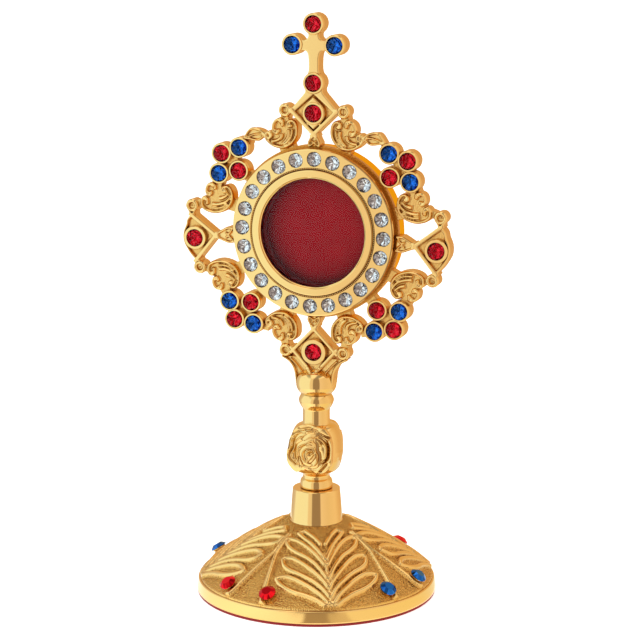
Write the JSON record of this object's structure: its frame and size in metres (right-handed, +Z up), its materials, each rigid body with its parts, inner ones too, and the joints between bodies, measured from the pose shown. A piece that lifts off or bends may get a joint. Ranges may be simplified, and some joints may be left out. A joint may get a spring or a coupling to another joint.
{
  "type": "standing reliquary",
  "caption": "Gilt standing reliquary: a round glazed relic case with a red backing in a jewelled openwork frame with a cross, on a rose-knob stem and a leaf-relief foot.",
  "frame": {"origin": "centre of the felt's underside", "axes": "+Z up along the stem; the front with the window faces -Y"},
  "size_m": [0.0794, 0.0688, 0.1651],
  "materials": {
    "gilt_brass": "polished and gilt",
    "red_stone": "faceted",
    "blue_stone": "faceted",
    "clear_stone": "faceted, foiled back",
    "window": "clear flat glass",
    "velvet": "deep red velvet",
    "felt": "red felt",
    "card": "plain grey board",
    "steel": "plain"
  },
  "bodies": {
    "reliquary": {"base_felt": "felt", "base_card": "card", "foot": "gilt_brass", "foot_stone_cups": "gilt_brass", "foot_red_stones": "red_stone", "foot_blue_stones": "blue_stone", "collar": "gilt_brass", "stem": "gilt_brass", "tie_rod": "steel", "tie_washer": "steel", "tie_nut": "steel", "frame": "gilt_brass", "cross_red_stones": "red_stone", "cross_blue_stones": "blue_stone", "lozenge_stones": "red_stone", "cluster_red_stones": "red_stone", "cluster_blue_stones": "blue_stone", "crystal_ring": "gilt_brass", "ring_crystals": "clear_stone", "glass_bezel": "gilt_brass", "window_glass": "window", "glass_snap_ring": "steel", "case_drum": "gilt_brass", "case_lining": "velvet"},
    "lid": {"back_lid": "gilt_brass", "backing_pad": "velvet"}
  },
  "joints": [
    {"name": "lid_pull", "type": "slide", "parent": "reliquary", "child": "lid", "axis": [0, 1, 0], "range_m": [0, 0.03]}
  ]
}
